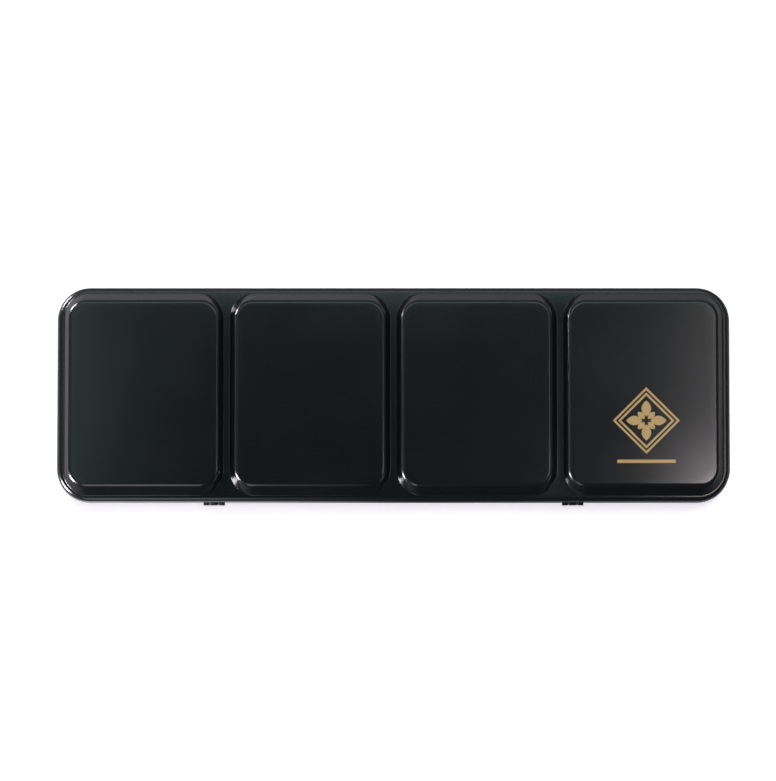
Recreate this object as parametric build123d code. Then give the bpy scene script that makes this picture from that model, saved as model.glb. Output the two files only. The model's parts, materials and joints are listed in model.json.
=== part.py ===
from build123d import *
import os
from math import atan2, cos, tan

# An empty watercolour tin: a shallow pressed base, a lid with four mixing wells that stand up as
# panels when it is shut, a lift-out rack for 24 half pans, and a folding thumb ring below.
# Millimetres. X runs along the tin, the hinges are on the -Y side and Z = 0 is the table.

# The whole tin
LENGTH = 225.0
WIDTH = 72.0
HEIGHT = 20.0
CORNER = 11.0
SHEET = 0.4

# Lid: a skirt with a folded hem, a rim and four raised wells
SKIRT_BOTTOM = 10.4
HEM_HEIGHT = 1.6
RIM_EDGE = 1.5
WELL_COUNT = 4
WELL_PITCH = 55.76
WELL_HEIGHT = 3.5
WELL_FOOT = (53.52, 68.23)
WELL_TOP = (50.1, 61.93)
WELL_FOOT_CORNER = 8.6
WELL_TOP_CORNER = 5.6
WELL_SHOULDER = 1.7
WELL_ROOT = 0.3

# Base: a straight wall with an inward hem, a standing foot and a panel pressed up inside it
FIT_GAP = 0.25
BASE_TOP = 15.75
BASE_EDGE = 1.5
BASE_HEM = 2.0
FOOT_BAND = 7.0
RECESS = 2.8
RECESS_SLOPE = 1.6
RECESS_CORNER = 7.0
RECESS_EDGE = 0.7

# Hinges: two small curled leaves each, on a pin
HINGE_X = 60.0
HINGE_WIDTH = 7.2
HINGE_MIDDLE = 2.7
HINGE_SIDE_GAP = 0.15
PIN_DIAMETER = 0.9
PIN_FIT = 0.03
KNUCKLE_RADIUS = 0.88
KNUCKLE_CLEAR = 0.07
LEAF_REACH = 4.6
LEAF_SPLIT = 1.15
LEAF_CORNER = 0.8
NOTCH_WIDTH = 9.0
NOTCH_HEIGHT = 1.0

# Rack: a plate with two end stops and four combs of spring tongues, spot-welded, for two rows of
# twelve half pans
PAN_COUNT = 12
PAN_PITCH = 17.9
PAN_LENGTH = 19.0
RACK_LENGTH = 221.0
RACK_CORNER = 9.0
RACK_WIDTH = 67.4
COMB_OUTER = 31.0
COMB_FOOT_OUTER = 2.6
COMB_FOOT_INNER = 3.4
COMB_HEIGHT = 2.6
TONGUE_WIDTH = 8.0
TONGUE_HEIGHT = 7.0
TONGUE_LEAN = 0.3
TONGUE_LIP = 0.45
TONGUE_LIP_HEIGHT = 1.2
END_STOP = 107.6
END_STOP_HEIGHT = 5.0

# Thumb ring: a wire loop whose straight leg turns in a saddle strap
WIRE_DIAMETER = 2.0
WIRE_CLEAR = 0.1
RING_WIDTH = 24.0
RING_REACH = 23.0
RING_BEND = 3.0
STRAP_WIDTH = 10.0
STRAP_FLANGE = 7.0
STRAP_FIT = 0.06

# Sizes that follow from these
RIM_TOP = HEIGHT - WELL_HEIGHT
LID_INNER_GAP = 2 * SHEET + FIT_GAP
BASE_LENGTH = LENGTH - 2 * LID_INNER_GAP
BASE_WIDTH = WIDTH - 2 * LID_INNER_GAP
BASE_CORNER = CORNER - LID_INNER_GAP
HINGE_Y = -(BASE_WIDTH / 2 + KNUCKLE_RADIUS + KNUCKLE_CLEAR)
HINGE_Z = HEIGHT / 2
FLOOR_TOP = RECESS + SHEET
RACK_TOP = FLOOR_TOP + SHEET
COMB_INNER = COMB_OUTER - PAN_LENGTH - 2 * TONGUE_LEAN + 0.1
RING_Z = RECESS - WIRE_CLEAR - WIRE_DIAMETER / 2


def block(length, width, corner, low, high):
    """A round-cornered slab between two heights."""
    outline = RectangleRounded(length, width, corner)
    return extrude(Plane.XY.offset(low) * outline, high - low)


def sloped_block(lower_size, lower_corner, low, upper_size, upper_corner, rise):
    """A slab whose straight sides lean from one round-cornered outline to another."""
    lower = Plane.XY.offset(low) * RectangleRounded(*lower_size, lower_corner)
    upper = Plane.XY.offset(low + rise) * RectangleRounded(*upper_size, upper_corner)
    return loft([lower, upper], ruled=True)


def lean_shift(inset, run, rise):
    """How much a leaning outline shrinks when its whole form is drawn one inset further in."""
    lean = atan2(run, rise)
    return 2 * inset * (tan(lean) - 1 / cos(lean))


def edges_at(part, height):
    """The edges of a part that lie flat at one height."""
    return part.edges().filter_by_position(Axis.Z, height - 0.001, height + 0.001)


def edges_within(part, height, size):
    """The edges of a part at one height that lie inside a rectangle's outline."""
    half_x, half_y = size[0] / 2 - 0.01, size[1] / 2 - 0.01
    flat = edges_at(part, height)
    return flat.filter_by(lambda e: abs(e.center().X) < half_x and abs(e.center().Y) < half_y)


def box_between(low, high):
    """A plain box from its lowest corner to its highest."""
    size = [b - a for a, b in zip(low, high)]
    middle = [(a + b) / 2 for a, b in zip(low, high)]
    return Pos(*middle) * Box(*size)


def well_centres():
    """The places of the wells along the lid."""
    first = -(WELL_COUNT - 1) / 2 * WELL_PITCH
    return [first + i * WELL_PITCH for i in range(WELL_COUNT)]


def well_form(inset, low):
    """One well, its long sides leaning more than its ends."""
    shifts = [lean_shift(inset, (f - t) / 2, WELL_HEIGHT) for f, t in zip(WELL_FOOT, WELL_TOP)]
    foot = [f + shift for f, shift in zip(WELL_FOOT, shifts)]
    top = [t + shift for t, shift in zip(WELL_TOP, shifts)]
    return sloped_block(
        foot, WELL_FOOT_CORNER - inset, low, top, WELL_TOP_CORNER - inset, WELL_HEIGHT
    )


def lid_form(inset):
    """The lid's outer skin as a solid or, one sheet further in, its inner skin."""
    top = RIM_TOP - inset
    low = SKIRT_BOTTOM - inset
    form = block(LENGTH - 2 * inset, WIDTH - 2 * inset, CORNER - inset, low, top)
    form = fillet(edges_at(form, top), RIM_EDGE - inset)
    well = well_form(inset, top)
    form += [Pos(x, 0, 0) * well for x in well_centres()]
    rim = (LENGTH - 2 * RIM_EDGE, WIDTH - 2 * RIM_EDGE)
    form = fillet(edges_within(form, top, rim), WELL_ROOT + inset)
    return fillet(edges_at(form, HEIGHT - inset), WELL_SHOULDER - inset)


def lid():
    """The lid pressing, its hem folded inwards and notched at the hinges."""
    skin = lid_form(0) - lid_form(SHEET)
    hem_top = SKIRT_BOTTOM + HEM_HEIGHT
    outer = block(LENGTH - SHEET, WIDTH - SHEET, CORNER - SHEET / 2, SKIRT_BOTTOM, hem_top)
    inner = block(
        LENGTH - 4 * SHEET, WIDTH - 4 * SHEET, CORNER - 2 * SHEET, SKIRT_BOTTOM - 1, hem_top + 1
    )
    skin += outer - inner
    skin = fillet(edges_at(skin, SKIRT_BOTTOM), SHEET * 0.9)
    wall_inside = -(WIDTH / 2 - SHEET)
    for x in (-HINGE_X, HINGE_X):
        x_low = x - NOTCH_WIDTH / 2
        x_high = x + NOTCH_WIDTH / 2
        notch_top = SKIRT_BOTTOM + NOTCH_HEIGHT
        skin -= box_between(
            (x_low, -WIDTH / 2 - 1, SKIRT_BOTTOM - 1), (x_high, -WIDTH / 2 + 2, notch_top)
        )
        skin -= box_between(
            (x_low, wall_inside, SKIRT_BOTTOM - 1), (x_high, wall_inside + 1, hem_top + 0.2)
        )
    return skin


def base_form(inset):
    """The base's outer or inner skin as a solid, with the panel pressed up inside the foot."""
    low = inset
    high = BASE_TOP + 2 * inset
    form = block(BASE_LENGTH - 2 * inset, BASE_WIDTH - 2 * inset, BASE_CORNER - inset, low, high)
    form = fillet(edges_at(form, low), BASE_EDGE - inset)
    shift = -lean_shift(inset, RECESS_SLOPE, RECESS)
    size = (BASE_LENGTH - 2 * FOOT_BAND + shift, BASE_WIDTH - 2 * FOOT_BAND + shift)
    panel = [side - 2 * RECESS_SLOPE for side in size]
    corner = RECESS_CORNER + shift / 2
    form -= sloped_block(size, corner, low, panel, corner - RECESS_SLOPE, RECESS)
    outline = (size[0] + 1, size[1] + 1)
    form = fillet(edges_within(form, low, outline), RECESS_EDGE - inset)
    return fillet(edges_at(form, low + RECESS), RECESS_EDGE + inset)


def base_tray():
    """The base pressing, with its top edge folded inwards."""
    skin = base_form(0) - base_form(SHEET)
    hem_low = BASE_TOP - BASE_HEM
    outer = block(
        BASE_LENGTH - SHEET, BASE_WIDTH - SHEET, BASE_CORNER - SHEET / 2, hem_low, BASE_TOP
    )
    inner = block(
        BASE_LENGTH - 4 * SHEET, BASE_WIDTH - 4 * SHEET, BASE_CORNER - 2 * SHEET, hem_low - 1,
        BASE_TOP + 1,
    )
    skin += outer - inner
    return fillet(edges_at(skin, BASE_TOP), SHEET * 0.9)


def leaf_plate(x, y_inner, low, high, outer_corners_at):
    """A hinge leaf's flat plate against a wall, its free corners rounded."""
    plate = box_between(
        (x - HINGE_WIDTH / 2, y_inner - SHEET, low), (x + HINGE_WIDTH / 2, y_inner, high)
    )
    corners = plate.edges().filter_by(Axis.Y)
    free = corners.filter_by_position(Axis.Z, outer_corners_at - 0.01, outer_corners_at + 0.01)
    return fillet(free, LEAF_CORNER)


def knuckle(x, width, bore, y_strip, z_end):
    """A curled knuckle round the pin, with the strip that joins it to its plate."""
    curl = Pos(HINGE_Y, HINGE_Z) * Circle(KNUCKLE_RADIUS)
    strip_middle = ((y_strip + y_strip - SHEET) / 2, (HINGE_Z + z_end) / 2)
    strip = Pos(*strip_middle) * Rectangle(SHEET, abs(z_end - HINGE_Z))
    hole = Pos(HINGE_Y, HINGE_Z) * Circle(bore)
    return extrude(Plane.YZ.offset(x) * (curl + strip - hole), width / 2, both=True)


def hinge_base_leaf(x):
    """The leaf on the base wall: a plate below the pin and one knuckle in the middle."""
    wall = -BASE_WIDTH / 2
    split = HINGE_Z - LEAF_SPLIT
    plate = leaf_plate(x, wall, HINGE_Z - LEAF_REACH, split, HINGE_Z - LEAF_REACH)
    return plate + knuckle(x, HINGE_MIDDLE, PIN_DIAMETER / 2, wall, split - 0.2)


def hinge_lid_leaf(x):
    """The leaf inside the lid skirt: a plate above the pin and a knuckle at each side."""
    wall = -(WIDTH / 2 - 2 * SHEET)
    split = HINGE_Z + LEAF_SPLIT
    leaf = leaf_plate(x, wall, split, HINGE_Z + LEAF_REACH, HINGE_Z + LEAF_REACH)
    side = (HINGE_WIDTH - HINGE_MIDDLE) / 2 - HINGE_SIDE_GAP
    for sign in (-1, 1):
        middle = x + sign * (HINGE_WIDTH - side) / 2
        leaf += knuckle(middle, side, PIN_DIAMETER / 2 + PIN_FIT, wall, split + 0.2)
    return leaf


def hinge_pin(x):
    """A headless pin that ends flush with the knuckles."""
    pin = Rot(0, 90, 0) * Cylinder(PIN_DIAMETER / 2, HINGE_WIDTH)
    pin = chamfer(pin.edges().filter_by(GeomType.CIRCLE), PIN_DIAMETER / 9)
    return Pos(x, HINGE_Y, HINGE_Z) * pin


def tongue(y_face, outward, x):
    """One spring tongue that leans on its pan, with a flared lip; outward is its side of the pan."""
    high = RACK_TOP + TONGUE_HEIGHT
    bend = high - TONGUE_LIP_HEIGHT
    near = [
        (y_face, RACK_TOP),
        (y_face - outward * TONGUE_LEAN, bend),
        (y_face + outward * TONGUE_LIP, high),
    ]
    far = [(y + outward * SHEET, z) for y, z in reversed(near)]
    profile = make_face(Polyline(*near, *far, close=True))
    return extrude(Plane.YZ.offset(x) * profile, TONGUE_WIDTH / 2, both=True)


def pan_places():
    """The places of the half pans along a row."""
    first = -(PAN_COUNT - 1) / 2 * PAN_PITCH
    return [first + i * PAN_PITCH for i in range(PAN_COUNT)]


def pan_comb(side, face, outward, foot):
    """One comb: a foot welded to the rack plate, a low upstand and a tongue for each pan."""
    places = pan_places()
    end = places[-1] + TONGUE_WIDTH / 2
    y_face = side * face
    y_back = y_face + outward * SHEET
    y_foot = y_face + outward * foot
    bed = box_between(
        (-end, min(y_face, y_foot), RACK_TOP), (end, max(y_face, y_foot), RACK_TOP + SHEET)
    )
    upstand = box_between(
        (-end, min(y_face, y_back), RACK_TOP), (end, max(y_face, y_back), RACK_TOP + COMB_HEIGHT)
    )
    return bed + [upstand] + [tongue(y_face, outward, x) for x in places]


def outer_comb(side):
    """The comb beside the base wall, its foot turned to the wall."""
    return pan_comb(side, COMB_OUTER, side, COMB_FOOT_OUTER)


def inner_comb(side):
    """The comb beside the brush channel, its foot turned to the channel."""
    return pan_comb(side, COMB_INNER, -side, COMB_FOOT_INNER)


def rack_plate():
    """The plate that carries the combs and the end stops."""
    return block(RACK_LENGTH, RACK_WIDTH, RACK_CORNER, FLOOR_TOP, RACK_TOP)


def rack_end(side):
    """The angle at one end of the rack: it stops the pans, and the rack is lifted by it."""
    half = RACK_WIDTH / 2 - RACK_CORNER
    face = side * END_STOP
    x_low, x_high = sorted((face, face + side * SHEET))
    upstand = box_between((x_low, -half, RACK_TOP), (x_high, half, RACK_TOP + END_STOP_HEIGHT))
    upstand = fillet(upstand.edges().filter_by(Axis.X).group_by(Axis.Z)[-1], END_STOP_HEIGHT / 2)
    x_low, x_high = sorted((face, side * RACK_LENGTH / 2))
    return upstand + box_between((x_low, -half, RACK_TOP), (x_high, half, RACK_TOP + SHEET))


def wire_section(x, y, along):
    """The wire's round section at a point of the loop, square to one axis."""
    facing = Plane(origin=(x, y, RING_Z), z_dir=along)
    return facing * Circle(WIRE_DIAMETER / 2)


def wire_bend(x, y, along, centre_x, centre_y, turn):
    """A bend of the wire that starts at a point and turns about an upright axis."""
    axis = Axis((centre_x, centre_y, RING_Z), (0, 0, 1))
    return revolve(wire_section(x, y, along), axis, turn)


def thumb_ring():
    """The wire loop, folded flat under the base at rest: a leg, two sides and a round end."""
    half = RING_WIDTH / 2
    leg = half - RING_BEND
    round_centre = RING_REACH - half
    side = extrude(wire_section(half, RING_BEND, (0, 1, 0)), round_centre - RING_BEND)
    corner = wire_bend(leg, 0, (1, 0, 0), leg, RING_BEND, 90)
    straight_leg = extrude(wire_section(-leg, 0, (1, 0, 0)), 2 * leg)
    round_end = wire_bend(half, round_centre, (0, 1, 0), 0, round_centre, 180)
    right = side + corner
    return straight_leg + [right, right.mirror(Plane.YZ), round_end]


def thumb_ring_strap():
    """The saddle strap that holds the ring's leg against the underside of the base."""
    bore = WIRE_DIAMETER / 2 + STRAP_FIT
    outer = bore + SHEET
    rise = RECESS - RING_Z
    saddle = Pos(0, RING_Z) * Circle(outer)
    saddle += Pos(0, RING_Z + rise / 2) * Rectangle(2 * outer, rise)
    saddle += Pos(0, RECESS - SHEET / 2) * Rectangle(2 * STRAP_FLANGE, SHEET)
    saddle -= Pos(0, RECESS + outer) * Rectangle(2 * STRAP_FLANGE, 2 * outer)
    saddle -= Pos(0, RING_Z) * Circle(bore)
    saddle -= Pos(0, RING_Z + rise) * Rectangle(2 * bore, 2 * rise)
    strap = extrude(Plane.YZ * saddle, STRAP_WIDTH / 2, both=True)
    ends = strap.edges().filter_by(Axis.Z).filter_by(lambda e: abs(e.center().Y) > STRAP_FLANGE - 0.1)
    return fillet(ends, STRAP_FLANGE / 4)


PARTS = {
    "base_tray": base_tray,
    "lid": lid,
    "left_hinge_base_leaf": lambda: hinge_base_leaf(-HINGE_X),
    "right_hinge_base_leaf": lambda: hinge_base_leaf(HINGE_X),
    "left_hinge_lid_leaf": lambda: hinge_lid_leaf(-HINGE_X),
    "right_hinge_lid_leaf": lambda: hinge_lid_leaf(HINGE_X),
    "left_hinge_pin": lambda: hinge_pin(-HINGE_X),
    "right_hinge_pin": lambda: hinge_pin(HINGE_X),
    "rack_plate": rack_plate,
    "left_rack_end": lambda: rack_end(-1),
    "right_rack_end": lambda: rack_end(1),
    "near_outer_pan_comb": lambda: outer_comb(-1),
    "near_inner_pan_comb": lambda: inner_comb(-1),
    "far_inner_pan_comb": lambda: inner_comb(1),
    "far_outer_pan_comb": lambda: outer_comb(1),
    "thumb_ring": thumb_ring,
    "thumb_ring_strap": thumb_ring_strap,
}

os.makedirs("parts", exist_ok=True)
for name, make in PARTS.items():
    solid = make()
    export_step(solid, "parts/" + name + ".step")
    print(name, "solids", len(solid.solids()), "volume", round(solid.volume, 2))
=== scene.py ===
import json
from math import acos, atan, cos, pi, radians, sin, tan

import bmesh
import bpy
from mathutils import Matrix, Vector


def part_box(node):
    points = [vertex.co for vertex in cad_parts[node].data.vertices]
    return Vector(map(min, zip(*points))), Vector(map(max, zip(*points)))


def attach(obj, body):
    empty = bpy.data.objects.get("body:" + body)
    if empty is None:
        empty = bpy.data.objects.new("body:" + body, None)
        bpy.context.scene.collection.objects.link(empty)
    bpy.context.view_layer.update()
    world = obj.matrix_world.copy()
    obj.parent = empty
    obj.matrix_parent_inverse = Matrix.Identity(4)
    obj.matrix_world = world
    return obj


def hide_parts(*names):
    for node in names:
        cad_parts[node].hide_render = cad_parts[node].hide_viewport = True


bl_info = {
    "name": "Watercolour Tin",
    "version": (1, 0, 0),
    "blender": (4, 5, 0),
    "location": "3D View > Sidebar > Tin",
    "description": "Dresses the frame of an empty watercolour tin in enamel, tinplate and wire",
    "category": "Add Mesh",
}

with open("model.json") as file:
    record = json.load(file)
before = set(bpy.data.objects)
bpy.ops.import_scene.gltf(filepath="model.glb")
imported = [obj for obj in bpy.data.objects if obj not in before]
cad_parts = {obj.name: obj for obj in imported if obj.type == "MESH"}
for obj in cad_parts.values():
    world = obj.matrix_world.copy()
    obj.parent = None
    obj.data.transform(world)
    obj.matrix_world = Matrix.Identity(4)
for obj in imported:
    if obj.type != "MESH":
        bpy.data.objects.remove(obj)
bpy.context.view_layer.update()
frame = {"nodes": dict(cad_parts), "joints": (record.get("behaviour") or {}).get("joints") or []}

MM = 0.001
LID_LOW, LID_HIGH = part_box("lid")
BASE_LOW, BASE_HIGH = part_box("base_tray")
RING_LOW, RING_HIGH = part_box("thumb_ring")
HINGE = {joint["name"]: joint for joint in frame["joints"]}

# The photograph's frame, in pixels, and where the tin lies in it
IMAGE_SIZE = (776, 781)
TIN_CENTRE_PX = (393.45, 394.6)
TIN_LENGTH_PX = 672.2


def linear(hex_text):
    """An sRGB hex colour as linear red, green, blue and alpha."""
    values = [int(hex_text[i:i + 2], 16) / 255 for i in (1, 3, 5)]
    turned = [v / 12.92 if v <= 0.04045 else ((v + 0.055) / 1.055) ** 2.4 for v in values]
    return (*turned, 1.0)


class TinSizes(bpy.types.PropertyGroup):
    """Sizes of the pressed sheets and of the ring's wire, in metres."""

    sheet: bpy.props.FloatProperty(
        name="Sheet", description="Thickness of the tinplate", default=0.4 * MM, unit="LENGTH"
    )
    corner: bpy.props.FloatProperty(
        name="Corner", description="Corner radius of the lid", default=11 * MM, unit="LENGTH"
    )
    rim_edge: bpy.props.FloatProperty(
        name="Rim edge", description="Radius along the lid's outer edge", default=1.5 * MM, unit="LENGTH"
    )
    lid_hem: bpy.props.FloatProperty(
        name="Lid hem", description="Height of the fold inside the skirt", default=1.6 * MM, unit="LENGTH"
    )
    well_pitch: bpy.props.FloatProperty(
        name="Well pitch", description="Distance between wells", default=55.76 * MM, unit="LENGTH"
    )
    well_height: bpy.props.FloatProperty(
        name="Well height", description="Rise of a well above the rim", default=3.5 * MM, unit="LENGTH"
    )
    well_foot: bpy.props.FloatVectorProperty(
        name="Well foot", description="Length and width at the rim, with sharp edges",
        default=(53.52 * MM, 68.23 * MM), size=2, unit="LENGTH",
    )
    well_top: bpy.props.FloatVectorProperty(
        name="Well top", description="Length and width of the panel, with sharp edges",
        default=(50.1 * MM, 61.93 * MM), size=2, unit="LENGTH",
    )
    well_foot_corner: bpy.props.FloatProperty(
        name="Foot corner", description="Corner radius at the rim", default=8.6 * MM, unit="LENGTH"
    )
    well_top_corner: bpy.props.FloatProperty(
        name="Panel corner", description="Corner radius of the panel", default=5.6 * MM, unit="LENGTH"
    )
    shoulder: bpy.props.FloatProperty(
        name="Shoulder", description="Radius round the panel's edge", default=1.7 * MM, unit="LENGTH"
    )
    root: bpy.props.FloatProperty(
        name="Root", description="Radius where a well meets the rim", default=0.3 * MM, unit="LENGTH"
    )
    crown: bpy.props.FloatProperty(
        name="Crown", description="How far each panel bulges", default=0.12 * MM, unit="LENGTH"
    )
    base_edge: bpy.props.FloatProperty(
        name="Base edge", description="Radius round the foot of the base", default=1.5 * MM, unit="LENGTH"
    )
    base_hem: bpy.props.FloatProperty(
        name="Base hem", description="Height of the fold inside the wall", default=2.0 * MM, unit="LENGTH"
    )
    foot_band: bpy.props.FloatProperty(
        name="Foot band", description="Wall to the raised bottom panel", default=7.0 * MM, unit="LENGTH"
    )
    recess: bpy.props.FloatProperty(
        name="Recess", description="Rise of the bottom panel", default=2.8 * MM, unit="LENGTH"
    )
    recess_slope: bpy.props.FloatProperty(
        name="Recess slope", description="Run of the panel's sloped side", default=1.6 * MM, unit="LENGTH"
    )
    recess_corner: bpy.props.FloatProperty(
        name="Recess corner", description="Corner radius of the panel", default=7 * MM, unit="LENGTH"
    )
    recess_edge: bpy.props.FloatProperty(
        name="Recess edge", description="Radius along the recess's edges", default=0.7 * MM, unit="LENGTH"
    )
    wire: bpy.props.FloatProperty(
        name="Wire", description="Diameter of the thumb ring's wire", default=2.0 * MM, unit="LENGTH"
    )
    ring_bend: bpy.props.FloatProperty(
        name="Ring bend", description="Radius of the ring's bends", default=3.0 * MM, unit="LENGTH"
    )


class TinOrnament(bpy.types.PropertyGroup):
    """Sizes of the ornament printed on the last well, in metres."""

    place: bpy.props.FloatVectorProperty(
        name="Place", description="Middle of the lozenge, from the middle of the panel",
        default=(0.8 * MM, -9.3 * MM), size=2, unit="LENGTH",
    )
    reach: bpy.props.FloatProperty(
        name="Reach", description="Middle of the lozenge to its points", default=11.2 * MM, unit="LENGTH"
    )
    line: bpy.props.FloatProperty(
        name="Line", description="Width of the printed lines", default=0.7 * MM, unit="LENGTH"
    )
    bar: bpy.props.FloatVectorProperty(
        name="Bar", description="Length and width of the bar below",
        default=(19.5 * MM, 1.1 * MM), size=2, unit="LENGTH",
    )
    bar_drop: bpy.props.FloatProperty(
        name="Bar drop", description="Middle of the lozenge to the bar", default=13.7 * MM, unit="LENGTH"
    )
    ink: bpy.props.FloatProperty(
        name="Ink", description="Thickness of the ink", default=0.01 * MM, unit="LENGTH"
    )


class TinColours(bpy.types.PropertyGroup):
    """Colours of the finishes."""

    outside: bpy.props.FloatVectorProperty(
        name="Outside", description="Black stoving enamel", subtype="COLOR", size=4,
        default=linear("#0B0F10"),
    )
    inside: bpy.props.FloatVectorProperty(
        name="Inside", description="White stoving enamel", subtype="COLOR", size=4,
        default=linear("#E9E8E2"),
    )
    tin: bpy.props.FloatVectorProperty(
        name="Tinplate", description="Bright tinned steel of the rack", subtype="COLOR", size=4,
        default=linear("#C4C4C0"),
    )
    nickel: bpy.props.FloatVectorProperty(
        name="Nickel", description="Plating of the wire and pins", subtype="COLOR", size=4,
        default=linear("#C9C5BC"),
    )
    gold: bpy.props.FloatVectorProperty(
        name="Gold", description="Gold ink of the ornament", subtype="COLOR", size=4,
        default=linear("#A68C5C"),
    )
    floor: bpy.props.FloatVectorProperty(
        name="Floor", description="White paper sweep", subtype="COLOR", size=4,
        default=linear("#F4F4F4"),
    )


def sizes():
    """The sizes in use."""
    return bpy.context.scene.tin_sizes


def colours():
    """The colours in use."""
    return bpy.context.scene.tin_colours


# Materials

def add_node(tree, kind, settings=(), **inputs):
    """Adds a node, sets its properties, and sets or links its inputs by name, or by number as i0, i1."""
    node = tree.nodes.new("ShaderNode" + kind)
    for key, value in dict(settings).items():
        setattr(node, key, value)
    for key, value in inputs.items():
        numbered = key[0] == "i" and key[1:].isdigit()
        socket = node.inputs[int(key[1:]) if numbered else key.replace("_", " ")]
        if isinstance(value, bpy.types.NodeSocket):
            tree.links.new(value, socket)
        else:
            socket.default_value = value
    return node


def new_material(name):
    """A material and its empty node tree, or a material made before and no tree."""
    material = bpy.data.materials.get(name)
    if material:
        return material, None
    material = bpy.data.materials.new(name)
    material.use_nodes = True
    material.node_tree.nodes.clear()
    return material, material.node_tree


def finish(material, **inputs):
    """Ends a material's tree with its shader, set or linked as the inputs say."""
    tree = material.node_tree
    shader = add_node(tree, "BsdfPrincipled", **inputs)
    add_node(tree, "OutputMaterial", Surface=shader.outputs[0])
    return material


def enamel(name, colour, roughness, peel_depth):
    """Stoving enamel sprayed on tinplate: a smooth satin skin with faint orange peel.

    The eye sees soft, slightly broken reflections, a deeper tone than the pigment alone, and a
    breath of fine dust and rub marks that dull the gloss unevenly."""
    material, tree = new_material(name)
    if tree is None:
        return material
    peel_size = 0.9 * MM
    cloud_size = 38 * MM
    place = add_node(tree, "TexCoord").outputs["Object"]
    peel = add_node(tree, "TexNoise", Vector=place, Scale=1 / peel_size, Detail=2.0, Roughness=0.5)
    cloud = add_node(tree, "TexNoise", Vector=place, Scale=1 / cloud_size, Detail=4.0, Roughness=0.6)
    gloss = add_node(
        tree, "MapRange", Value=cloud.outputs["Fac"], From_Min=0.3, From_Max=0.7,
        To_Min=roughness * 0.88, To_Max=roughness * 1.14,
    ).outputs["Result"]
    bump = add_node(tree, "Bump", Height=peel.outputs["Fac"], Strength=0.35, Distance=peel_depth)
    # Rubbed and duller places are a trace paler
    paler = [c * 1.12 for c in colour[:3]] + [1.0]
    tint = add_node(tree, "Mix", {"data_type": "RGBA"}, i0=gloss, i6=colour, i7=paler)
    return finish(
        material, Base_Color=tint.outputs[2], IOR=1.5, Roughness=gloss, Normal=bump.outputs["Normal"]
    )


def bright_metal(name, colour, roughness, grain):
    """Plated or tinned steel: a pale grey mirror, softened by rolling or drawing marks.

    The eye sees broad reflections stretched across the grain. The grain is the marks' length,
    width and depth, each drawn a little coarser than real so that it shows."""
    material, tree = new_material(name)
    if tree is None:
        return material
    place = add_node(tree, "TexCoord").outputs["Object"]
    stretch = add_node(tree, "Mapping", Vector=place, Scale=[1 / mark for mark in grain])
    lines = add_node(
        tree, "TexNoise", Vector=stretch.outputs[0], Scale=1.0, Detail=5.0, Roughness=0.65
    ).outputs["Fac"]
    gloss = add_node(
        tree, "MapRange", Value=lines, From_Min=0.25, From_Max=0.75,
        To_Min=roughness * 0.75, To_Max=roughness * 1.3,
    )
    bump = add_node(tree, "Bump", Height=lines, Strength=0.2, Distance=0.01 * MM)
    return finish(
        material, Base_Color=colour, Metallic=1.0, Roughness=gloss.outputs["Result"],
        Normal=bump.outputs["Normal"],
    )


def black_enamel():
    """The outside of the tin: black stoving enamel, satin."""
    return enamel("black_stoving_enamel", tuple(colours().outside), 0.22, 0.004 * MM)


def white_enamel():
    """The inside of the tin: white stoving enamel, glossier, so that washes wipe off."""
    return enamel("white_stoving_enamel", tuple(colours().inside), 0.2, 0.01 * MM)


def gold_ink():
    """The ornament: gold bronze ink, screen printed. The eye sees a dull sparkle of fine flakes.

    Real flakes are a tenth of this size and are drawn coarser so that they show."""
    material, tree = new_material("gold_bronze_ink")
    if tree is None:
        return material
    flake_size = 0.25 * MM
    place = add_node(tree, "TexCoord").outputs["Object"]
    flakes = add_node(tree, "TexVoronoi", Vector=place, Scale=1 / flake_size)
    gloss = add_node(
        tree, "MapRange", Value=flakes.outputs["Distance"], From_Min=0.0, From_Max=0.8,
        To_Min=0.34, To_Max=0.5,
    )
    return finish(
        material, Base_Color=tuple(colours().gold), Metallic=0.35, Roughness=gloss.outputs["Result"]
    )


def tinplate():
    """The rack: bright tinned steel sheet, with the rolling marks of the mill along its length."""
    rolling = (30 * MM, 0.4 * MM, 0.4 * MM)
    return bright_metal("tinned_steel_sheet", tuple(colours().tin), 0.33, rolling)


def nickel_wire():
    """The thumb ring and the pins: nickel-plated drawn wire, with faint clouds in its plating."""
    drawing = (2 * MM, 2 * MM, 2 * MM)
    return bright_metal("nickel_plated_wire", tuple(colours().nickel), 0.16, drawing)


# Forms

CORNER_STEPS = 14
SIDE_STEPS = 10
FOLD_STEPS = 8
ROOT_STEPS = 5
SHOULDER_STEPS = 12
PANEL_STEPS = 12
CREASE_ANGLE = 40

# A dressed sheet is a touch thinner than the solid one, and so stays within it
SHEET_SHARE = 0.97


def bend(turn, steps):
    """Angles along a bend, from 0 to its full turn."""
    return [turn * step / steps for step in range(steps + 1)]


def rounded_ring(x, half_x, half_y, radius, z):
    """Points round a round-cornered rectangle, anticlockwise, always the same number of them."""
    arcs = []
    for sign_x, sign_y, first in ((1, -1, -90), (1, 1, 0), (-1, 1, 90), (-1, -1, 180)):
        centre_x = x + sign_x * (half_x - radius)
        centre_y = sign_y * (half_y - radius)
        turns = [radians(first + angle) for angle in bend(90, CORNER_STEPS)]
        arcs.append([
            Vector((centre_x + radius * cos(turn), centre_y + radius * sin(turn), z)) for turn in turns
        ])
    ring = []
    for arc, following in zip(arcs, arcs[1:] + arcs[:1]):
        ring += arc
        ring += [arc[-1].lerp(following[0], step / SIDE_STEPS) for step in range(1, SIDE_STEPS)]
    return ring


def add_rings(mesh, rings, closed=False):
    """Adds rings of points and joins each to the next, and the last to the first when closed."""
    made = [[mesh.verts.new(point) for point in ring] for ring in rings]
    following = made[1:] + made[:1] if closed else made[1:]
    for low, high in zip(made, following):
        for i in range(len(low)):
            j = (i + 1) % len(low)
            mesh.faces.new((low[i], low[j], high[j], high[i]))
    return made


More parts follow.
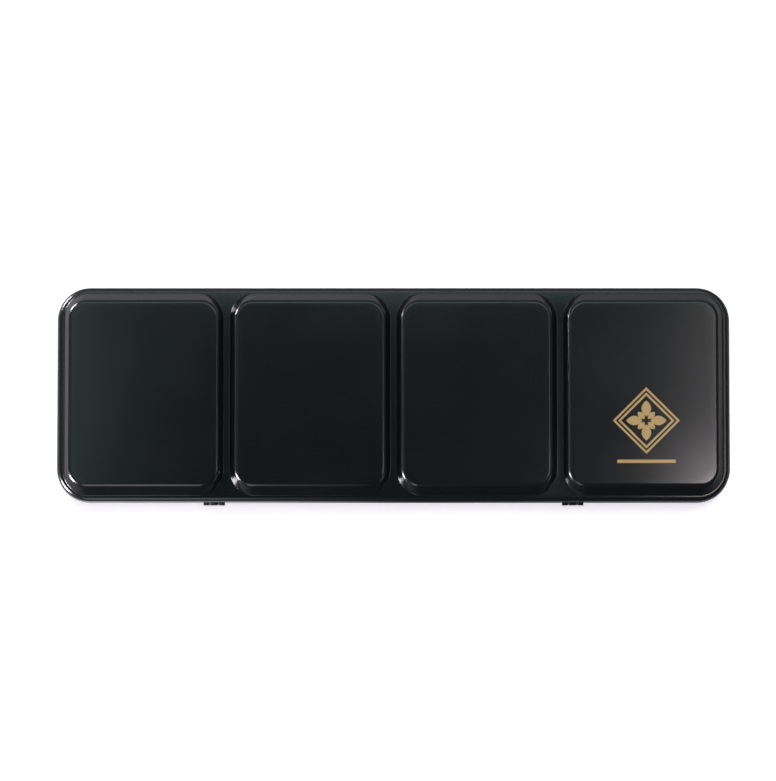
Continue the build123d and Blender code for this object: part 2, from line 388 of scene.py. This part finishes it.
def loop_edges(mesh, ring):
    """The edges round one ring, made where they are missing."""
    edges = []
    for first, second in zip(ring, ring[1:] + ring[:1]):
        edges.append(mesh.edges.get((first, second)) or mesh.edges.new((first, second)))
    return edges


def shade(data, crease):
    """Shades a mesh smooth, apart from edges sharper than the crease angle in degrees."""
    data.polygons.foreach_set("use_smooth", [True] * len(data.polygons))
    data.set_sharp_from_angle(angle=radians(crease))


def new_object(name, mesh, materials, body, crease=CREASE_ANGLE):
    """Turns a bmesh into a smooth-shaded object that rides on a body."""
    data = bpy.data.meshes.new(name)
    mesh.to_mesh(data)
    mesh.free()
    for material in materials:
        data.materials.append(material)
    shade(data, crease)
    piece = bpy.data.objects.new(name, data)
    bpy.context.collection.objects.link(piece)
    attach(piece, body)
    return piece


def settle(piece):
    """Makes a piece's modifiers part of its mesh."""
    shown = piece.evaluated_get(bpy.context.evaluated_depsgraph_get())
    data = bpy.data.meshes.new_from_object(shown)
    old = piece.data
    piece.modifiers.clear()
    piece.data = data
    data.name = old.name
    bpy.data.meshes.remove(old)
    shade(data, CREASE_ANGLE)


def thicken(piece, thickness):
    """Gives a skin the sheet's thickness, with the second material on its inner side."""
    sheet = piece.modifiers.new("sheet", "SOLIDIFY")
    sheet.thickness = thickness
    sheet.offset = -1
    sheet.use_even_offset = True
    sheet.material_offset = 1
    sheet.material_offset_rim = 0


def wall_section(fold, hem, edge_radius, edge_z, end_z):
    """Insets and heights of a sheet's wall, from the hem over its folded edge to its rounded end."""
    way = 1 if end_z > edge_z else -1
    section = [(2 * fold, edge_z + way * hem)]
    for angle in bend(pi, FOLD_STEPS):
        section.append((fold + fold * cos(angle), edge_z + way * (fold - fold * sin(angle))))
    for angle in bend(pi / 2, FOLD_STEPS):
        section.append((edge_radius * (1 - cos(angle)), end_z - way * edge_radius * (1 - sin(angle))))
    return section


def well_side(size, axis):
    """Rise and run of a well's side between its sharp edges, and the angle that it leans at."""
    rise = size.well_height - size.crown
    run = (size.well_foot[axis] - size.well_top[axis]) / 2
    return rise, run, atan(rise / run)


def well_levels(size):
    """Heights above the rim at which a well's section is drawn, closest in its bends."""
    rise, _, slope = well_side(size, 0)
    root = [size.root * (1 - cos(angle)) for angle in bend(slope, ROOT_STEPS)]
    shoulder = [rise - size.shoulder * (1 - cos(angle)) for angle in bend(slope, SHOULDER_STEPS)]
    return root + shoulder[::-1]


def well_inset(size, axis, level):
    """How far in from the sharp foot line the well's side lies at one height."""
    rise, run, slope = well_side(size, axis)
    trim = tan(slope / 2)
    drop = 1 - cos(slope)
    if level <= size.root * drop:
        return size.root * (sin(acos(1 - level / size.root)) - trim)
    if level >= rise - size.shoulder * drop:
        turn = acos(min(1, 1 - (rise - level) / size.shoulder))
        return run + size.shoulder * (trim - sin(turn))
    return level * run / rise


def panel_height(size, x, y):
    """Height of a panel's crowned face at a point measured from the panel's middle.

    The crown leaves room for the ink, so that the print stays below the top of the solid lid."""
    rise = size.well_height - size.crown
    across = 1 - (x / (size.well_foot[0] / 2 - well_inset(size, 0, rise))) ** 2
    along = 1 - (y / (size.well_foot[1] / 2 - well_inset(size, 1, rise))) ** 2
    swell = size.crown - 2 * bpy.context.scene.tin_ornament.ink
    return LID_HIGH.z - size.crown + swell * max(across * along, 0) ** 1.5


def well_rings(size, x, rim_top):
    """The rings of one well, from the rim up and across its panel."""
    rings = []
    for level in well_levels(size):
        half_x = size.well_foot[0] / 2 - well_inset(size, 0, level)
        half_y = size.well_foot[1] / 2 - well_inset(size, 1, level)
        share = (size.well_foot[1] / 2 - half_y) / (size.well_foot[1] - size.well_top[1]) * 2
        radius = size.well_foot_corner + share * (size.well_top_corner - size.well_foot_corner)
        rings.append(rounded_ring(x, half_x, half_y, radius, rim_top + level))
    deepest = half_x * 0.94
    least_radius = 0.3 * MM
    for step in range(1, PANEL_STEPS):
        share = step / PANEL_STEPS
        inset = deepest * share
        ring = rounded_ring(x, half_x - inset, half_y - inset, max(radius * (1 - share), least_radius), 0)
        for point in ring:
            point.z = panel_height(size, point.x - x, point.y)
        rings.append(ring)
    return rings


def lid_skin(size):
    """The lid's outer face: hem, skirt, rim and wells as one sheet."""
    half_x = (LID_HIGH.x - LID_LOW.x) / 2
    half_y = (LID_HIGH.y - LID_LOW.y) / 2
    rim_top = LID_HIGH.z - size.well_height
    mesh = bmesh.new()
    walls = add_rings(mesh, [
        rounded_ring(0, half_x - inset, half_y - inset, size.corner - inset, z)
        for inset, z in wall_section(size.sheet, size.lid_hem, size.rim_edge, LID_LOW.z, rim_top)
    ])
    boundary = loop_edges(mesh, walls[-1])
    first = -1.5 * size.well_pitch
    for number in range(4):
        well = add_rings(mesh, well_rings(size, first + number * size.well_pitch, rim_top))
        mesh.faces.new(well[-1])
        boundary += loop_edges(mesh, well[0])
    bmesh.ops.triangle_fill(mesh, use_beauty=True, edges=boundary)
    bmesh.ops.recalc_face_normals(mesh, faces=mesh.faces)
    return mesh


def hinge_notches(size):
    """Boxes that clear each hinge from the lid: one through the folded hem, one through its inner layer."""
    beside = 0.9 * MM
    depth = 2 * MM
    height = 1 * MM
    past = 1 * MM
    inner_y = LID_LOW.y + size.sheet
    hem_top = LID_LOW.z + size.lid_hem + 0.2 * MM
    boxes = []
    for node in ("left_hinge_base_leaf", "right_hinge_base_leaf"):
        leaf_low, leaf_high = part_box(node)
        x_low = leaf_low.x - beside
        x_high = leaf_high.x + beside
        z_low = LID_LOW.z - past
        boxes.append(((x_low, LID_LOW.y - past, z_low), (x_high, LID_LOW.y + depth, LID_LOW.z + height)))
        boxes.append(((x_low, inner_y, z_low), (x_high, inner_y + past, hem_top)))
    return boxes


def cutter(low, high):
    """A plain box that another piece is notched with."""
    mesh = bmesh.new()
    bmesh.ops.create_cube(mesh, size=1)
    for vert in mesh.verts:
        for axis in range(3):
            vert.co[axis] = high[axis] if vert.co[axis] > 0 else low[axis]
    data = bpy.data.meshes.new("cutter")
    mesh.to_mesh(data)
    mesh.free()
    box = bpy.data.objects.new("cutter", data)
    bpy.context.collection.objects.link(box)
    return box


def notch(piece, boxes):
    """Cuts boxes out of a piece."""
    made = [cutter(low, high) for low, high in boxes]
    for box in made:
        cut = piece.modifiers.new("notch", "BOOLEAN")
        cut.operation = "DIFFERENCE"
        cut.solver = "EXACT"
        cut.object = box
    settle(piece)
    for box in made:
        bpy.data.objects.remove(box)


class TIN_OT_lid(bpy.types.Operator):
    """Makes the lid: one pressed sheet with a folded hem and four wells."""

    bl_idname = "tin.lid"
    bl_label = "Lid"

    def execute(self, context):
        size = sizes()
        piece = new_object("enamelled_lid", lid_skin(size), [black_enamel(), white_enamel()], "lid")
        thicken(piece, size.sheet * SHEET_SHARE)
        notch(piece, hinge_notches(size))
        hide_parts("lid")
        return {"FINISHED"}


# The ornament's inner lozenge and its petals, as shares of the lozenge's reach
INNER_LOZENGE = 0.84
LONG_PETAL = 0.6
SHORT_PETAL = 0.36

# How far a lozenge's points move in for each width of its line
POINT_PER_LINE = 1.4

LOZENGE_STEPS = 16
PETAL_STEPS = 10
BAR_STEPS = 20
INK_CREASE = 30


def lozenge_loop(x, y, reach):
    """Points round a lozenge, the same number on each side."""
    tips = [(x + reach, y), (x, y + reach), (x - reach, y), (x, y - reach)]
    loop = []
    for (start_x, start_y), (end_x, end_y) in zip(tips, tips[1:] + tips[:1]):
        for step in range(LOZENGE_STEPS):
            share = step / LOZENGE_STEPS
            loop.append((start_x + (end_x - start_x) * share, start_y + (end_y - start_y) * share))
    return loop


def petal_edges(x, y, turn, length):
    """Left and right edges of one pointed petal that starts near the flower's middle."""
    start = 0.2
    fullness = 0.24
    least = 0.02 * MM
    edges = [], []
    for step in range(PETAL_STEPS + 1):
        share = step / PETAL_STEPS
        out = length * (start + (1 - start) * share)
        half = max(length * fullness * sin(pi * share) ** 0.8, least)
        for edge, aside in zip(edges, (half, -half)):
            edge.append((x + out * cos(turn) - aside * sin(turn), y + out * sin(turn) + aside * cos(turn)))
    return edges


def bar_edges(x, y, length, width):
    """Upper and lower edge of a bar."""
    stops = [x - length / 2 + length * step / BAR_STEPS for step in range(BAR_STEPS + 1)]
    return [[(stop, y + half) for stop in stops] for half in (width / 2, -width / 2)]


def ink_band(mesh, edges, closed, height):
    """A thin printed strip between two lines of points, with its foot a little inside the enamel."""
    sunk = Vector((0, 0, 0.03 * MM))
    tops = [[mesh.verts.new((x, y, height(x, y))) for x, y in edge] for edge in edges]
    feet = [[mesh.verts.new(vert.co - sunk) for vert in top] for top in tops]
    count = len(tops[0])
    for i in range(count if closed else count - 1):
        j = (i + 1) % count
        mesh.faces.new((tops[0][i], tops[0][j], tops[1][j], tops[1][i]))
        mesh.faces.new((feet[0][i], feet[1][i], feet[1][j], feet[0][j]))
        for top, foot in zip(tops, feet):
            mesh.faces.new((top[i], foot[i], foot[j], top[j]))
    if not closed:
        for end in (0, -1):
            mesh.faces.new((tops[0][end], tops[1][end], feet[1][end], feet[0][end]))


class TIN_OT_ornament(bpy.types.Operator):
    """Prints a plain gold ornament on the last well: a flower in a lozenge, over a bar."""

    bl_idname = "tin.ornament"
    bl_label = "Ornament"

    def execute(self, context):
        size = sizes()
        art = context.scene.tin_ornament
        middle = 1.5 * size.well_pitch
        x = middle + art.place[0]
        y = art.place[1]
        mesh = bmesh.new()

        def height(at_x, at_y):
            return panel_height(size, at_x - middle, at_y) + art.ink

        for reach in (art.reach, art.reach * INNER_LOZENGE):
            edges = lozenge_loop(x, y, reach), lozenge_loop(x, y, reach - art.line * POINT_PER_LINE)
            ink_band(mesh, edges, True, height)
        for number in range(8):
            length = art.reach * (SHORT_PETAL if number % 2 else LONG_PETAL)
            ink_band(mesh, petal_edges(x, y, number * pi / 4, length), False, height)
        ink_band(mesh, bar_edges(x, y - art.bar_drop, *art.bar), False, height)
        bmesh.ops.recalc_face_normals(mesh, faces=mesh.faces)
        piece = new_object("printed_ornament", mesh, [gold_ink()], "lid", INK_CREASE)
        return {"FINISHED"}


def base_section(size):
    """Insets and heights of the base: folded edge, wall, foot and sloped side of the raised panel."""
    section = wall_section(size.sheet, size.base_hem, size.base_edge, BASE_HIGH.z, 0)
    slope = atan(size.recess / size.recess_slope)
    soft = size.recess_edge
    trim = soft * tan(slope / 2)
    for angle in bend(slope, ROOT_STEPS):
        section.append((size.foot_band - trim + soft * sin(angle), soft * (1 - cos(angle))))
    end = size.foot_band + size.recess_slope
    for angle in bend(slope, ROOT_STEPS):
        turn = slope - angle
        section.append((end + trim - soft * sin(turn), size.recess - soft * (1 - cos(turn))))
    return section


def base_skin(size):
    """The base's outer face as one sheet, with corners that tighten towards the raised panel."""
    half_x = (BASE_HIGH.x - BASE_LOW.x) / 2
    half_y = (BASE_HIGH.y - BASE_LOW.y) / 2
    outer = size.corner - (LID_HIGH.x - BASE_HIGH.x)
    inner = size.recess_corner + size.foot_band
    rings = []
    for inset, z in base_section(size):
        share = min(inset / size.foot_band, 1)
        radius = outer + share * (inner - outer) - inset
        rings.append(rounded_ring(0, half_x - inset, half_y - inset, radius, z))
    mesh = bmesh.new()
    made = add_rings(mesh, rings)
    mesh.faces.new(made[-1])
    bmesh.ops.recalc_face_normals(mesh, faces=mesh.faces)
    return mesh


class TIN_OT_base(bpy.types.Operator):
    """Makes the base tray: one pressed sheet with a folded edge and a standing foot."""

    bl_idname = "tin.base"
    bl_label = "Base tray"

    def execute(self, context):
        size = sizes()
        piece = new_object("enamelled_base", base_skin(size), [black_enamel(), white_enamel()], "base")
        thicken(piece, size.sheet * SHEET_SHARE)
        settle(piece)
        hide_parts("base_tray")
        return {"FINISHED"}


# How far the sharp edges of sheet and wire are eased
LEAF_EASE = 0.06 * MM
PIN_EASE = 0.04 * MM
PLATE_EASE = 0.08 * MM


def softened(node, material, body, ease_width):
    """A copy of a frame node with its sharp edges eased and a finish of its own."""
    mesh = bmesh.new()
    mesh.from_mesh(frame["nodes"][node].data)
    bmesh.ops.remove_doubles(mesh, verts=mesh.verts, dist=0.001 * MM)
    flat = radians(0.5)
    bmesh.ops.dissolve_limit(mesh, angle_limit=flat, verts=mesh.verts, edges=mesh.edges)
    piece = new_object(node + "_finished", mesh, [material], body)
    ease = piece.modifiers.new("eased_edges", "BEVEL")
    ease.width = ease_width
    ease.segments = 2
    ease.limit_method = "ANGLE"
    ease.angle_limit = radians(35)
    ease.use_clamp_overlap = True
    settle(piece)
    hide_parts(node)


class TIN_OT_hinges(bpy.types.Operator):
    """Finishes the hinge leaves in enamel and the pins in plated wire."""

    bl_idname = "tin.hinges"
    bl_label = "Hinges"

    def execute(self, context):
        for side in ("left", "right"):
            for body in ("base", "lid"):
                softened(side + "_hinge_" + body + "_leaf", black_enamel(), body, LEAF_EASE)
            softened(side + "_hinge_pin", nickel_wire(), "base", PIN_EASE)
        return {"FINISHED"}


RACK_PIECES = (
    "rack_plate", "left_rack_end", "right_rack_end", "near_outer_pan_comb", "near_inner_pan_comb",
    "far_inner_pan_comb", "far_outer_pan_comb",
)


class TIN_OT_rack(bpy.types.Operator):
    """Finishes the pan rack's plate, end stops and combs in tinplate."""

    bl_idname = "tin.rack"
    bl_label = "Pan rack"

    def execute(self, context):
        for node in RACK_PIECES:
            softened(node, tinplate(), "base", PLATE_EASE)
        return {"FINISHED"}


BEND_STEPS = 16
ROUND_END_STEPS = 40
WIRE_SIDES = 20


def ring_line(size):
    """Points along the middle of the ring's wire: a leg on the hinge line, two bends and a round end."""
    z = HINGE["thumb_ring_hinge"]["pos_m"][2]
    half = (RING_HIGH.x - RING_LOW.x - size.wire) / 2
    reach = RING_HIGH.y - size.wire / 2
    small = size.ring_bend
    line = []
    bends = (
        (half - small, small, small, -90, 90, BEND_STEPS),
        (0, reach - half, half, 0, 180, ROUND_END_STEPS),
        (small - half, small, small, 180, 90, BEND_STEPS),
    )
    for x, y, radius, first, turn, steps in bends:
        for angle in bend(turn, steps):
            heading = radians(first + angle)
            line.append(Vector((x + radius * cos(heading), y + radius * sin(heading), z)))
    return line


def wire_loop(line, radius):
    """A round wire along a flat closed line."""
    up = Vector((0, 0, 1))
    turns = [2 * pi * step / WIRE_SIDES for step in range(WIRE_SIDES)]
    rings = []
    for before, point, after in zip(line[-1:] + line[:-1], line, line[1:] + line[:1]):
        ahead = (after - before).normalized()
        across = Vector((-ahead.y, ahead.x, 0))
        rings.append([point + (across * cos(turn) + up * sin(turn)) * radius for turn in turns])
    mesh = bmesh.new()
    add_rings(mesh, rings, closed=True)
    bmesh.ops.recalc_face_normals(mesh, faces=mesh.faces)
    return mesh


class TIN_OT_thumb_ring(bpy.types.Operator):
    """Makes the thumb ring from bent wire and finishes its strap."""

    bl_idname = "tin.thumb_ring"
    bl_label = "Thumb ring"

    def execute(self, context):
        size = sizes()
        mesh = wire_loop(ring_line(size), size.wire / 2)
        piece = new_object("wire_thumb_ring", mesh, [nickel_wire()], "thumb_ring")
        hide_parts("thumb_ring")
        softened("thumb_ring_strap", black_enamel(), "base", PLATE_EASE)
        return {"FINISHED"}


# Stage

DAYLIGHT = "#E0FAF8"
SHADE_LIGHT = "#C4ECF2"
LAMPLIGHT = "#FFF6FA"
WALL_LIGHT = "#F2F4FF"


def area_light(name, place, size, power, colour="#FFFFFF", target=None):
    """A soft rectangular lamp that points straight down, or at its target."""
    data = bpy.data.lights.new(name, "AREA")
    data.shape = "RECTANGLE"
    data.size, data.size_y = size
    data.energy = power
    data.color = linear(colour)[:3]
    lamp = bpy.data.objects.new(name, data)
    bpy.context.collection.objects.link(lamp)
    lamp.location = place
    ahead = Vector(target) - Vector(place) if target else Vector((0, 0, -1))
    lamp.rotation_euler = ahead.to_track_quat("-Z", "Y").to_euler()
    lamp.visible_camera = False
    return lamp


def slanted_level(tree, place, middle, across, along, ends):
    """A brightness that changes with the direction from the tin, over the ground.

    It rises by across to the right and by along to the back. By ends it rises towards left and
    right alike, and falls as much towards the front and the back."""
    level = add_node(tree, "VectorMath", {"operation": "MULTIPLY"}, i0=place, i1=(1, 1, 0)).outputs[0]
    unit = add_node(tree, "VectorMath", {"operation": "NORMALIZE"}, i0=level).outputs[0]
    square = add_node(tree, "VectorMath", {"operation": "MULTIPLY"}, i0=unit, i1=unit).outputs[0]
    lean = add_node(
        tree, "VectorMath", {"operation": "DOT_PRODUCT"}, i0=unit, i1=(across, along, 0)
    ).outputs["Value"]
    spread = add_node(
        tree, "VectorMath", {"operation": "DOT_PRODUCT"}, i0=square, i1=(ends, -ends, 0)
    ).outputs["Value"]
    both = add_node(tree, "Math", {"operation": "ADD"}, i0=lean, i1=spread)
    return add_node(tree, "Math", {"operation": "ADD"}, i0=both.outputs[0], i1=middle).outputs[0]


def seen_plainly(tree, rays):
    """One for what the camera sees, also through a clear piece, and nothing for other rays."""
    return add_node(
        tree, "Math", {"operation": "MAXIMUM"}, i0=rays.outputs["Is Camera Ray"],
        i1=rays.outputs["Is Transmission Ray"],
    ).outputs[0]


def paper():
    """White paper sweep: pure white to the camera, with the tin's shadow on it.

    In reflections it shows a painted glow in place of its own colour; the glow dims towards the front and
    the right, standing in for a studio that is darker there."""
    material, tree = new_material("white_paper_sweep")
    if tree is None:
        return material
    plain_glow = 0.65
    place = add_node(tree, "NewGeometry").outputs["Position"]
    # Painted reflection: reflections see a glow on the paper, brighter towards the back and the left, not
    # the paper lit by the lamps
    painted_reflection_level = slanted_level(tree, place, middle=0.66, across=-0.33, along=0.36, ends=0.15)
    rays = add_node(tree, "LightPath")
    glossy = rays.outputs["Is Glossy Ray"]
    # In reflections the paper's own colour is black, so that only the painted glow shows
    pale = add_node(
        tree, "Mix", {"data_type": "RGBA"}, i0=glossy, i6=tuple(colours().floor), i7=(0, 0, 0, 1)
    )
    seen = seen_plainly(tree, rays)
    plain = add_node(tree, "Math", {"operation": "MULTIPLY"}, i0=seen, i1=plain_glow)
    soft = add_node(tree, "Math", {"operation": "MULTIPLY"}, i0=glossy, i1=painted_reflection_level)
    glow = add_node(tree, "Math", {"operation": "ADD"}, i0=plain.outputs[0], i1=soft.outputs[0])
    return finish(
        material, Base_Color=pale.outputs[2], Roughness=0.9, Specular_IOR_Level=0.0,
        Emission_Color=linear("#FAF7FF"), Emission_Strength=glow.outputs[0],
    )


def studio():
    """A dim ceiling over a ring of brighter walls, brightest at the back and dim in front.

    The camera sees plain white in its place."""
    ceiling = 0.013
    sky = bpy.data.worlds.new("studio")
    sky.use_nodes = True
    tree = sky.node_tree
    tree.nodes.clear()
    place = add_node(tree, "TexCoord").outputs["Generated"]
    walls = slanted_level(tree, place, middle=0.24, across=-0.03, along=0.2, ends=-0.06)
    # The walls count in full 30 degrees above the ground, and fade out towards it and overhead
    height = add_node(tree, "SeparateXYZ", Vector=place).outputs["Z"]
    above = add_node(tree, "Math", {"operation": "SUBTRACT"}, i0=1.0, i1=height)
    band = add_node(tree, "Math", {"operation": "MULTIPLY"}, i0=height, i1=above.outputs[0])
    share = add_node(tree, "Math", {"operation": "MULTIPLY", "use_clamp": True}, i0=band.outputs[0], i1=4.0)
    wall = add_node(tree, "Math", {"operation": "MULTIPLY"}, i0=share.outputs[0], i1=walls)
    level = add_node(tree, "Math", {"operation": "ADD"}, i0=wall.outputs[0], i1=ceiling)
    seen = seen_plainly(tree, add_node(tree, "LightPath"))
    shown = add_node(tree, "Mix", {"data_type": "FLOAT"}, i0=seen, i2=level.outputs[0], i3=1.0)
    glow = add_node(tree, "Background", Color=(1, 1, 1, 1), Strength=shown.outputs[0])
    add_node(tree, "OutputWorld", Surface=glow.outputs[0])
    return sky


def add_floor():
    """The paper that the tin stands on."""
    half_side = 3.0
    mesh = bmesh.new()
    bmesh.ops.create_grid(mesh, x_segments=1, y_segments=1, size=half_side)
    data = bpy.data.meshes.new("paper_sweep")
    mesh.to_mesh(data)
    mesh.free()
    data.materials.append(paper())
    floor = bpy.data.objects.new("paper_sweep", data)
    bpy.context.collection.objects.link(floor)


def add_lamps():
    """One lamp for the paper and the white inside, and those that the black enamel mirrors."""
    fill = area_light("overhead_fill", (0, 0.35, 1.05), (1.2, 1.2), 9.5, target=(0, 0, 0))
    fill.visible_glossy = False

    # Strips under the ceiling: the sheen along the far edges and at both ends
    area_light("back_ceiling_strip", (0, 0.15, 0.32), (0.3, 0.05), 0.2, DAYLIGHT)
    area_light("left_ceiling_strip", (-0.128, 0.02, 0.27), (0.02, 0.16), 0.02, SHADE_LIGHT)
    area_light("right_ceiling_strip", (0.134, 0.02, 0.27), (0.02, 0.16), 0.046, LAMPLIGHT)

    # The glow on the last panel, and the band of light on the near slope of the first
    area_light("right_glow", (0.12, -0.022, 0.19), (0.015, 0.025), 0.03, LAMPLIGHT)
    area_light("front_left_card", (-0.12, -0.35, 0.28), (0.12, 0.34), 0.3, target=(-0.09, 0, 0.02))

    # Gleams at the left corners, and the walls that the end slopes mirror: for reflections only
    tin = (0, 0, 0.02)
    near_corners = (-0.02, -0.03, 0.02)
    far_corner = (-0.107, 0.033, 0.02)
    accents = (
        area_light("front_left_lamp", (-0.26, -0.115, 0.12), (0.08, 0.08), 1.9, target=near_corners),
        area_light("back_left_lamp", (-0.165, 0.085, 0.058), (0.03, 0.03), 0.21, target=far_corner),
        area_light("left_wall", (-1.5, 0, 0.06), (2.4, 0.12), 9.0, WALL_LIGHT, target=tin),
        area_light("right_wall", (1.5, 0, 0.06), (2.4, 0.12), 5.0, LAMPLIGHT, target=tin),
    )
    for lamp in accents:
        lamp.visible_diffuse = False


def add_camera():
    """The photograph's view: from straight above, a little towards the hinges."""
    sensor = 36.0
    distance = 2.5
    tilt = radians(7)
    outline_z = 15.1 * MM
    per_pixel = (LID_HIGH.x - LID_LOW.x) / TIN_LENGTH_PX
    data = bpy.data.cameras.new("camera")
    data.sensor_width = sensor
    data.lens = distance / per_pixel * sensor / max(IMAGE_SIZE)
    data.clip_end = 20
    camera = bpy.data.objects.new("camera", data)
    bpy.context.collection.objects.link(camera)
    aim = Vector((
        (IMAGE_SIZE[0] / 2 - TIN_CENTRE_PX[0]) * per_pixel,
        (TIN_CENTRE_PX[1] - IMAGE_SIZE[1] / 2) * per_pixel / cos(tilt),
        outline_z,
    ))
    camera.location = aim + Vector((0, -sin(tilt), cos(tilt))) * distance
    camera.rotation_euler = (tilt, 0, 0)
    return camera


class TIN_OT_stage(bpy.types.Operator):
    """Sets the floor, the sky, the lamps and the camera."""

    bl_idname = "tin.stage"
    bl_label = "Stage"

    def execute(self, context):
        scene = context.scene
        scene.view_settings.view_transform = "Standard"
        add_floor()
        scene.world = studio()
        add_lamps()
        scene.camera = add_camera()
        return {"FINISHED"}


class TIN_PT_panel(bpy.types.Panel):
    """Lists the sizes and colours of the tin, and the pieces to make."""

    bl_idname = "TIN_PT_panel"
    bl_label = "Watercolour tin"
    bl_space_type = "VIEW_3D"
    bl_region_type = "UI"
    bl_category = "Tin"

    def draw(self, context):
        for group in (context.scene.tin_sizes, context.scene.tin_ornament, context.scene.tin_colours):
            for key in group.__annotations__:
                self.layout.prop(group, key)
        for operator in OPERATORS:
            self.layout.operator(operator.bl_idname)


OPERATORS = (
    TIN_OT_lid, TIN_OT_ornament, TIN_OT_base, TIN_OT_hinges, TIN_OT_rack, TIN_OT_thumb_ring, TIN_OT_stage,
)
CLASSES = (TinSizes, TinOrnament, TinColours, *OPERATORS, TIN_PT_panel)


def register():
    """Registers the classes and hangs their properties on the scene."""
    for item in CLASSES:
        bpy.utils.register_class(item)
    bpy.types.Scene.tin_sizes = bpy.props.PointerProperty(type=TinSizes)
    bpy.types.Scene.tin_ornament = bpy.props.PointerProperty(type=TinOrnament)
    bpy.types.Scene.tin_colours = bpy.props.PointerProperty(type=TinColours)


def unregister():
    """Takes the properties and classes away again."""
    del bpy.types.Scene.tin_colours
    del bpy.types.Scene.tin_ornament
    del bpy.types.Scene.tin_sizes
    for item in reversed(CLASSES):
        bpy.utils.unregister_class(item)


def main():
    """Makes every piece."""
    register()
    bpy.ops.tin.lid()
    bpy.ops.tin.ornament()
    bpy.ops.tin.base()
    bpy.ops.tin.hinges()
    bpy.ops.tin.rack()
    bpy.ops.tin.thumb_ring()
    bpy.ops.tin.stage()


if __name__ == "__main__":
    main()
